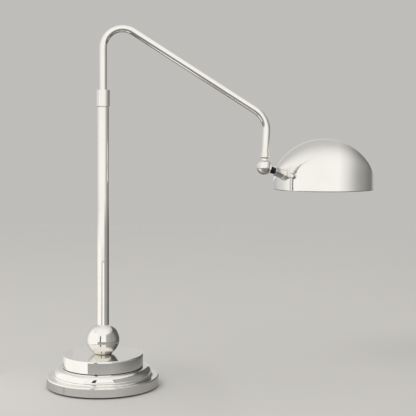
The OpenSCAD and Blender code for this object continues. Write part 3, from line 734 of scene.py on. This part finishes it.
def makeSocketSleeve():
    s = headSettings
    bore = s["nippleRadius"] + clearance
    shank = s["shankRadius"] + clearance
    points = roundCorners([
        (shank, s["sleeveStart"], 0.2), (s["sleeveRadius"], s["sleeveStart"], 0.5),
        (s["sleeveRadius"], s["ringStart"], 0.4),
        (bore, s["ringStart"], 0.2), (bore, s["nippleStart"] - 1), (s["nippleBore"], s["nippleStart"] - 1),
        (s["nippleBore"], s["shankEnd"]), (shank, s["shankEnd"])], fine=12)
    return turned("socketSleeve", points, pivotPoint, socketDirection, 72)


def makeRingNut():
    s = headSettings
    bore = s["nippleRadius"] + clearance
    r = s["ringRadius"]
    end = s["ringStart"] + s["ringThickness"]
    points = roundCorners([
        (bore, s["ringStart"], 0.2), (r, s["ringStart"], 1.8), (r, end, 1.8), (bore, end, 0.2)], fine=12)
    return turned("ringNut", points, pivotPoint, socketDirection, 80)


def shadeFrame():
    low, high = nodeBox("shade_dome")
    return Vector(((low.x + high.x) / 2, (low.y + high.y) / 2, low.z)), (high.x - low.x) / 2, high.z - low.z


def domeCurve(r, height, inset, fine=2.5):
    s = shadeSettings
    shoulderX = r - s["shoulder"]
    rise = height - s["skirt"]
    crown = (shoulderX ** 2 + rise ** 2 - s["shoulder"] ** 2) / (2 * (rise - s["shoulder"]))
    crownZ = height - crown
    join = math.degrees(math.atan2(s["skirt"] - crownZ, shoulderX))
    curve = arcPoints((0, crownZ), crown - inset, 90, join, fine)
    return curve + arcPoints((shoulderX, s["skirt"]), s["shoulder"] - inset, join, 0, fine)[1:]


def makeShade():
    s = shadeSettings
    centre, r, height = shadeFrame()
    bead = s["bead"]
    points = domeCurve(r, height, 0) + [(r, bead + 0.4)]
    points += arcPoints((r - bead, bead), bead, 0, -280, 14)
    inside = domeCurve(r, height, s["wall"])
    points += [(r - s["wall"], bead * 2 + 0.8)] + inside[::-1]
    shade = turned("shadeDome", points, centre, upward, 192, closed=False)
    hole = headSettings["nippleRadius"] + clearance
    combine(shade, drill("nippleHole", hole, pivotPoint + 40 * socketDirection,
                         pivotPoint + 60 * socketDirection))
    return shade


def markInside(shade):
    centre, r, height = shadeFrame()
    makeActive(shade)
    shade.active_material_index = 1
    bpy.ops.object.mode_set(mode="EDIT")
    bpy.ops.mesh.select_all(action="DESELECT")
    mesh = bmesh.from_edit_mesh(shade.data)
    axisPoint = centre * mm
    for face in mesh.faces:
        middle = face.calc_center_median()
        outward = middle - axisPoint
        inward = face.normal.dot(outward) < -0.1 * outward.length
        face.select_set(inward and middle.z > axisPoint.z + 2.6 * mm)
    bmesh.update_edit_mesh(shade.data)
    bpy.ops.object.material_slot_assign()
    bpy.ops.object.mode_set(mode="OBJECT")


def makeSaddleWasher():
    s = headSettings
    centre, domeR, height = shadeFrame()
    thick = s["seat"] - s["ringStart"] - s["ringThickness"]
    start = s["seat"] - thick
    bore = s["nippleRadius"] + clearance
    r = s["ringRadius"] + 0.8
    over = s["seat"] + thick
    points = roundCorners([(bore, start, 0.1), (r, start, 0.3), (r, over), (bore, over)], fine=15)
    washer = turned("saddleWasher", points, pivotPoint, socketDirection, 80)
    outline = domeCurve(domeR, height, 0) + [(domeR, 0), (0, 0)]
    solid = turned("domeTool", outline, centre, upward, 192, closed=False)
    combine(washer, solid)
    return washer


def makeShadeNipple():
    s = headSettings
    points = [(s["nippleBore"], s["nippleStart"]), (s["nippleRadius"] - 0.4, s["nippleStart"])]
    points += threadWaves(s["nippleRadius"] - 0.2, 0.2, s["nippleStart"] + 0.5, s["nippleEnd"] - 0.5, 1.0, 6)
    points += [(s["nippleRadius"] - 0.4, s["nippleEnd"]), (s["nippleBore"], s["nippleEnd"])]
    return turned("shadeNipple", points, pivotPoint, socketDirection, 48)


dress(makeTiltBlade(), finish["blackened"], "head", "dark_steel", "tilt_blade")
dress(makeSocketSleeve(), finish["turned"], "head", "nickelled_brass", "socket_sleeve")
dress(makeRingNut(), finish["turned"], "head", "nickelled_brass", "ring_nut")
dress(makeSaddleWasher(), finish["turned"], "head", "nickelled_brass", "saddle_washer")
markInside(dress(makeShade(), [finish["shade"], finish["enamel"]], "head", "polished_nickel", "shade_dome"))
dress(makeShadeNipple(), finish["brass"], "head", "raw_brass", "shade_nipple")
print("shade and its fittings made")


# lamp holder and bulb

holderSettings = dict(capStart=58.4, capDepth=16, capRadius=13, capWall=1, capBore=4.95,
                      insulatorStart=63.4, insulatorRadius=11.95,
                      insulatorLength=24, contact=67.4, shellStart=69.4, shellEnd=86.4, shellRadius=7.7,
                      pitch=2.8)
bulbSettings = dict(capStart=69, tipRadius=2.6, tipHeight=1.2, capRadius=7.1, neckLow=85.4, tubeStart=90.4,
                    neckRadius=6.5, radius=11, end=138.4, glass=0.8, core=2.4, pitch=2.8)


def makeHolderCap():
    s = holderSettings
    low, r, wall, bore = s["capStart"], s["capRadius"], s["capWall"], s["capBore"]
    high = low + s["capDepth"]
    points = roundCorners([
        (bore, low, 0.2), (r, low, 2.5), (r, high, 0.3), (r - wall, high, 0.3), (r - wall, low + wall, 1.5),
        (bore, low + wall, 0.2)])
    return turned("holderCap", points, pivotPoint, socketDirection)


def makeHolderInsulator():
    s = holderSettings
    low, high = s["insulatorStart"], s["insulatorStart"] + s["insulatorLength"]
    bore = s["shellRadius"] + clearance
    points = roundCorners([
        (0, low), (s["insulatorRadius"], low, 0.6), (s["insulatorRadius"], high, 1.3), (bore, high, 0.7),
        (bore, s["contact"], 0.4), (0, s["contact"])])
    return turned("holderInsulator", points, pivotPoint, socketDirection, closed=False)


def makeScrewShell():
    s = holderSettings
    inside = threadWaves(s["shellRadius"] - 0.35, 0.15, s["shellStart"] + 1, s["shellEnd"] - 1.8, s["pitch"])
    outside = threadWaves(s["shellRadius"] - 0.1, 0.1, s["shellStart"] + 1, s["shellEnd"] - 1.8, s["pitch"])
    r = s["shellRadius"]
    points = [(r, s["shellStart"])] + outside + [(r, s["shellEnd"]), (r - 0.5, s["shellEnd"])] + inside[::-1]
    points += [(r - 0.5, s["shellStart"])]
    return turned("screwShell", points, pivotPoint, socketDirection, 64)


def makeBulbCap():
    s = bulbSettings
    r = s["capRadius"]
    shoulder = s["capStart"] + s["tipHeight"]
    tip = s["tipRadius"]
    points = roundCorners([(0, s["capStart"]), (tip, s["capStart"], 0.5), (tip, shoulder)])
    points += [(5.2, shoulder), (6.4, shoulder + 1.4)]
    points += threadWaves(r - 0.35, 0.35, shoulder + 1.8, shoulder + 1.8 + 4.5 * s["pitch"], s["pitch"])
    points += [(r, s["tubeStart"] - 0.3), (r - 0.2, s["tubeStart"]), (s["neckRadius"] + 0.05, s["tubeStart"]),
               (s["neckRadius"] + 0.05, s["neckLow"]), (0, s["neckLow"])]
    return turned("bulbCap", points, pivotPoint, socketDirection, 64, closed=False)


def glassCurve(inset):
    s = bulbSettings
    r = s["radius"] - inset
    neck = s["neckRadius"] - inset
    domeStart = s["end"] - s["radius"]
    tubeStart = s["tubeStart"] + 0.1 + inset
    points = arcPoints((0, domeStart), r, 90, 0, 6)
    points += roundCorners([
        (r, domeStart), (r, tubeStart, 3.4), (neck, tubeStart, 0.8), (neck, s["neckLow"])], fine=15)[1:]
    return points


def makeBulbGlass():
    points = glassCurve(0) + glassCurve(bulbSettings["glass"])[::-1]
    return turned("bulbGlass", points, pivotPoint, socketDirection, 72, closed=False)


def makeBulbStem():
    s = bulbSettings
    top = s["end"] - s["radius"]
    r = s["neckRadius"] - s["glass"] - 0.05
    points = roundCorners([(0, s["neckLow"]), (r, s["neckLow"], 0.4), (r, s["neckLow"] + 3, 1.5),
                           (s["core"], s["neckLow"] + 6.5, 2), (s["core"], top, 2.2), (0, top)])
    return turned("bulbStem", points, pivotPoint, socketDirection, 48, closed=False)


dress(makeHolderCap(), finish["turned"], "head", "nickelled_brass", "holder_cap")
dress(makeHolderInsulator(), finish["porcelain"], "head", "porcelain", "holder_insulator")
dress(makeScrewShell(), finish["brass"], "head", "raw_brass", "screw_shell")
dress(makeBulbCap(), finish["bulbMetal"], "head", "bulb_metal", "bulb_cap")
dress(makeBulbGlass(), finish["glass"], "head", "frosted_glass", "bulb_glass")
dress(makeBulbStem(), finish["core"], "head", "bulb_core", "bulb_stem")
print("lamp holder and bulb made")


# inner nodes keep their own mesh

keptNodes = {
    "steel": ["bottom_plate", "drum_spacer"],
    "iron": ["ballast"],
    "zinc": ["bottom_screws", "tie_rod", "tie_rod_nut", "tie_rod_washer", "stop_screw", "stop_ring_screws",
             "knuckle_spigot"],
    "brass": ["foot_plug", "stem_bearing", "stop_ring", "end_plug", "knuckle_lock_nut", "shade_lock_nut",
              "centre_contact"],
    # the black of these washers is partly their own colour and partly painted shade in the gaps under the
    # drum and under the knuckle
    "fibreAndGapShade": ["shadow_washer", "knuckle_washer", "friction_washers"],
    "blackPlastic": ["collar_liner"],
    "whitePlastic": ["thrust_washer"],
}
for finishName, nodeNames in keptNodes.items():
    for nodeName in nodeNames:
        for slot in frame["nodes"][nodeName].material_slots:
            slot.material = finish[finishName]
print("inner nodes finished")


# stage: floor, sky, cards, lamp and camera

stageSettings = dict(background=(0.52, 0.51, 0.492), floor=(0.6, 0.587, 0.565), floorRadius=6.0,
                     fadeStart=0.8, fadeEnd=4.5, glossStart=0.15, glossEnd=0.4, glossNear=0.5,
                     warm=(1.0, 0.99, 0.965), overStart=118 / 180, overEnd=137 / 180,
                     front=(-0.134, -0.99, 0.043), right=(0.991, -0.134, 0))

# light of the studio by the compass: degrees from the front, positive to the right
skyBand = [
    (-180, 0.5), (-165, 0.5), (-148, 0.56), (-131, 0.68), (-114, 0.74), (-103, 0.87), (-97, 0.94), (-84, 1.0),
    (-82.4, 0.12), (-80.2, 0.12), (-79, 1.04), (180, 1.04)]
# its fall to the right, by how far to the side the metal that mirrors it faces
sideBand = [
    (-1, 1.0), (0.3, 1.0), (0.45, 0.8), (0.56, 0.59), (0.64, 0.44), (0.72, 0.35), (0.8, 0.29), (0.88, 0.21),
    (0.94, 0.2), (0.965, 0.4), (1, 0.5)]
# its fall upwards and over to the back, by how far up that metal faces, in degrees
upBand = [
    (0, 1.0), (42, 1.0), (47, 0.95), (54, 0.83), (58, 0.75), (64, 0.63), (71, 0.59), (78, 0.57), (83, 0.66),
    (90, 0.66)]
# its fall below the horizon, by height in degrees
belowBand = [(-90, 0.2), (-35, 0.22), (-20, 0.3), (-12, 0.36), (-6, 1.0), (90, 1.0)]

# cards beside and before the base, which only polished metal sees, and only from their front:
# plan and heights in metres, light by the compass
paneLight = [(-180, 1.1), (180, 1.1)]
cards = {
    "whiteCard": dict(
        plan=[(-0.112, -0.182), (-0.18, -0.13), (-0.21, -0.03), (-0.205, 0.07), (-0.165, 0.16),
              (-0.08, 0.22)],
        low=0.0, high=0.29, fadeTop=0.06,
        light=[(-180, 0.62), (-145, 0.62), (-122, 0.8), (-105, 1.1), (180, 1.1)]),
    "greyCard": dict(
        plan=[(0.13, -0.25), (0.21, -0.16), (0.25, -0.04), (0.24, 0.08), (0.2, 0.17), (0.12, 0.23)],
        low=0.03, high=0.33, fadeTop=0.06,
        light=[(0, 0.6), (30, 0.5), (60, 0.36), (85, 0.3), (112, 0.12), (180, 0.12)]),
    "darkCard": dict(
        plan=[(-0.068, -0.202), (0.104, -0.202)], low=0.048, high=0.206, light=[(-180, 0.06), (180, 0.06)]),
    "leftPane": dict(plan=[(-0.078, -0.2), (-0.058, -0.2)], low=0.052, high=0.205, light=paneLight),
    "rightPane": dict(plan=[(-0.03, -0.2), (0.097, -0.2)], low=0.056, high=0.205, light=paneLight),
}


def compassOf(tree, vector):
    parts = addNode(tree, "ShaderNodeSeparateXYZ", {0: vector}).outputs
    angle = calculate(tree, "ARCTAN2", parts["X"], calculate(tree, "MULTIPLY", parts["Y"], -1.0))
    return rescale(tree, angle, -math.pi, math.pi)


def lightBand(tree, stops, place, low=-180, high=180, tint=stageSettings["warm"]):
    ramp = addNode(tree, "ShaderNodeValToRGB", {0: place})
    fillRamp(ramp, [((at - low) / (high - low), tuple(value * part for part in tint)) for at, value in stops])
    return ramp.outputs["Color"]


def makeFloor():
    s = stageSettings
    deselectAll()
    bpy.ops.mesh.primitive_circle_add(vertices=96, radius=s["floorRadius"], fill_type="NGON")
    floor = bpy.context.object
    floor.name = "floor"
    material = bpy.data.materials.new("paleFloor")
    material.use_nodes = True
    tree = material.node_tree
    shader = tree.nodes["Principled BSDF"]
    shader.inputs["Roughness"].default_value = 0.6
    place = addNode(tree, "ShaderNodeTexCoord").outputs["Object"]
    cloud = addNode(tree, "ShaderNodeTexNoise", {"Vector": place, "Scale": 3.0, "Detail": 3.0})
    light = tuple(value * 1.02 for value in s["floor"])
    dark = tuple(value * 0.98 for value in s["floor"])
    tree.links.new(blendColours(tree, cloud.outputs["Fac"], dark, light), shader.inputs["Base Color"])
    distance = onVectors(tree, "LENGTH", place, output="Value")
    fade = rescale(tree, distance, s["fadeStart"], s["fadeEnd"], interpolation_type="SMOOTHSTEP")
    # in polished metal the floor ends sooner, and the studio's light goes on below it
    near = rescale(tree, distance, s["glossStart"], s["glossEnd"], s["glossNear"],
                   interpolation_type="SMOOTHSTEP")
    near = calculate(tree, "MULTIPLY", near, addNode(tree, "ShaderNodeLightPath").outputs["Is Glossy Ray"])
    clear = addNode(tree, "ShaderNodeBsdfTransparent")
    mix = addNode(tree, "ShaderNodeMixShader",
                  {0: calculate(tree, "MAXIMUM", fade, near), 1: shader.outputs[0], 2: clear.outputs[0]})
    tree.links.new(mix.outputs[0], tree.nodes["Material Output"].inputs["Surface"])
    floor.data.materials.append(material)


def makeSky():
    s = stageSettings
    world = bpy.data.worlds.new("studioSky")
    bpy.context.scene.world = world
    world.use_nodes = True
    tree = world.node_tree
    tree.nodes.clear()
    direction = addNode(tree, "ShaderNodeTexCoord").outputs["Generated"]
    rise = addNode(tree, "ShaderNodeSeparateXYZ", {0: direction}).outputs["Z"]
    height = rescale(tree, calculate(tree, "ARCSINE", rise), -math.pi / 2, math.pi / 2)

    # metal that faces halfway between a place in the sky and the front mirrors that place
    halfway = onVectors(tree, "NORMALIZE", onVectors(tree, "ADD", direction, s["front"]))
    side = rescale(tree, onVectors(tree, "DOT_PRODUCT", halfway, s["right"], "Value"), -1.0, 1.0)
    parts = addNode(tree, "ShaderNodeSeparateXYZ", {0: halfway}).outputs
    up = calculate(tree, "ARCTAN2", parts["Z"], calculate(tree, "MULTIPLY", parts["Y"], -1.0))
    up = rescale(tree, up, -math.pi / 2, math.pi / 2)

    # straight overhead and behind, the light no longer changes with the compass
    over = rescale(tree, up, s["overStart"], s["overEnd"], interpolation_type="SMOOTHSTEP")
    sky = blendColours(tree, over, lightBand(tree, skyBand, compassOf(tree, direction)), s["warm"])
    white = (1, 1, 1)
    for factor in (lightBand(tree, sideBand, side, -1, 1, white), lightBand(tree, upBand, up, -90, 90, white),
                   lightBand(tree, belowBand, height, -90, 90, white)):
        sky = onVectors(tree, "MULTIPLY", sky, factor)
    light = addNode(tree, "ShaderNodeLightPath").outputs
    seen = calculate(tree, "MAXIMUM", light["Is Camera Ray"], light["Is Transmission Ray"])
    colour = blendColours(tree, seen, sky, s["background"])
    background = addNode(tree, "ShaderNodeBackground", {"Color": colour, "Strength": 1.0})
    output = addNode(tree, "ShaderNodeOutputWorld")
    tree.links.new(background.outputs[0], output.inputs["Surface"])


def makeCard(name, plan, low, high, light, fadeTop=0.0):
    plan = [Vector((x, y, low)) for x, y in plan]
    deselectAll()
    bpy.ops.mesh.primitive_plane_add(size=mm)
    card = bpy.context.object
    card.name = name
    bpy.ops.object.mode_set(mode="EDIT")
    bpy.ops.mesh.select_all(action="SELECT")
    bpy.ops.mesh.merge(type="CENTER")
    bpy.ops.transform.translate(value=plan[0])
    for here, there in zip(plan, plan[1:]):
        bpy.ops.mesh.extrude_region_move(TRANSFORM_OT_translate={"value": there - here})
    bpy.ops.mesh.select_all(action="SELECT")
    bpy.ops.mesh.extrude_region_move(TRANSFORM_OT_translate={"value": (0, 0, high - low)})
    bpy.ops.object.mode_set(mode="OBJECT")
    # the front of a card faces the lamp
    face = card.data.polygons[0]
    if face.normal.dot(Vector((face.center.x, face.center.y, 0))) > 0:
        card.data.flip_normals()
    material = bpy.data.materials.new(name)
    material.use_nodes = True
    tree = material.node_tree
    tree.nodes.clear()
    place = addNode(tree, "ShaderNodeTexCoord").outputs["Object"]
    glow = addNode(tree, "ShaderNodeEmission", {"Color": lightBand(tree, light, compassOf(tree, place))})
    rise = addNode(tree, "ShaderNodeSeparateXYZ", {0: place}).outputs["Z"]
    top = rescale(tree, rise, high - fadeTop, high + mm)
    away = addNode(tree, "ShaderNodeNewGeometry").outputs["Backfacing"]
    clear = addNode(tree, "ShaderNodeBsdfTransparent")
    mix = addNode(tree, "ShaderNodeMixShader",
                  {0: calculate(tree, "MAXIMUM", away, top), 1: glow.outputs[0], 2: clear.outputs[0]})
    tree.links.new(mix.outputs[0], addNode(tree, "ShaderNodeOutputMaterial").inputs["Surface"])
    card.data.materials.append(material)
    card.visible_camera = False
    card.visible_diffuse = False
    card.visible_shadow = False
    card.visible_transmission = False


lampSettings = dict(place=(-1.2, -1.4, 2.6), aim=(0.1, 0, 0.2), size=1.6, power=22)


def makeLamp():
    s = lampSettings
    deselectAll()
    bpy.ops.object.light_add(type="AREA", location=s["place"])
    lamp = bpy.context.object
    lamp.name = "softLamp"
    lamp.data.shape = "DISK"
    lamp.data.size = s["size"]
    lamp.data.energy = s["power"]
    lamp.rotation_mode = "QUATERNION"
    lamp.rotation_quaternion = (Vector(s["aim"]) - Vector(s["place"])).to_track_quat("-Z", "Y")
    lamp.visible_glossy = False


# place in metres, angles in radians, focus, shift and frame in the photo's pixels
cameraSettings = dict(place=(0.15556, -1.86145, 0.46593), yaw=0.0201, pitch=0.0242, roll=0.003, focus=1010.3,
                      shift=-50, frame=416, sensor=36)


def makeCamera():
    s = cameraSettings
    yaw, pitch, roll = s["yaw"], s["pitch"], s["roll"]
    deselectAll()
    bpy.ops.object.camera_add()
    camera = bpy.context.object
    level = Vector((math.sin(yaw), math.cos(yaw), 0))
    forward = level * math.cos(pitch) - upward * math.sin(pitch)
    right = forward.cross(upward).normalized()
    up = right.cross(forward)
    tilted = right * math.cos(roll) + up * math.sin(roll)
    above = tilted.cross(forward)
    turn = Matrix((tilted, above, -forward)).transposed().to_4x4()
    camera.matrix_world = Matrix.Translation(Vector(s["place"])) @ turn
    camera.data.sensor_width = s["sensor"]
    camera.data.lens = s["focus"] * s["sensor"] / s["frame"]
    camera.data.shift_y = s["shift"] / s["frame"]
    camera.data.clip_start = 0.01
    camera.data.clip_end = 50
    bpy.context.scene.camera = camera


makeFloor()
makeSky()
for cardName, card in cards.items():
    makeCard(cardName, **card)
makeLamp()
makeCamera()
bpy.context.scene.view_settings.view_transform = "Standard"
print("stage set")
